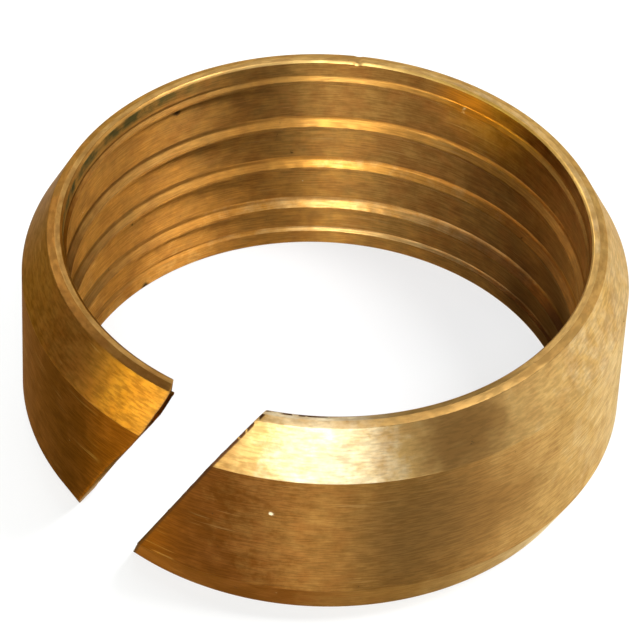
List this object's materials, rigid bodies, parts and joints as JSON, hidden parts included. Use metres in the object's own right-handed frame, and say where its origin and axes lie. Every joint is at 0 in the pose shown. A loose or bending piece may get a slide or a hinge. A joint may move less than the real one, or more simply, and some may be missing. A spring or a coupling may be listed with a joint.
{
  "type": "split compression olive",
  "caption": "Turned brass clamping ring with a barbed bore, a seating cone and a slanted saw slot; a fitting's nut closes it onto a pipe.",
  "frame": {"origin": "on the ring's axis, in the plane of its flat foot", "axes": "+Z along the axis from the foot to the cone end; the saw slot is centred on -Y and leans towards +X at the top"},
  "size_m": [0.0238, 0.0238, 0.0096],
  "materials": {
    "brass": "turned, slightly tarnished"
  },
  "bodies": {
    "root": {"split_olive": "brass"}
  },
  "joints": []
}
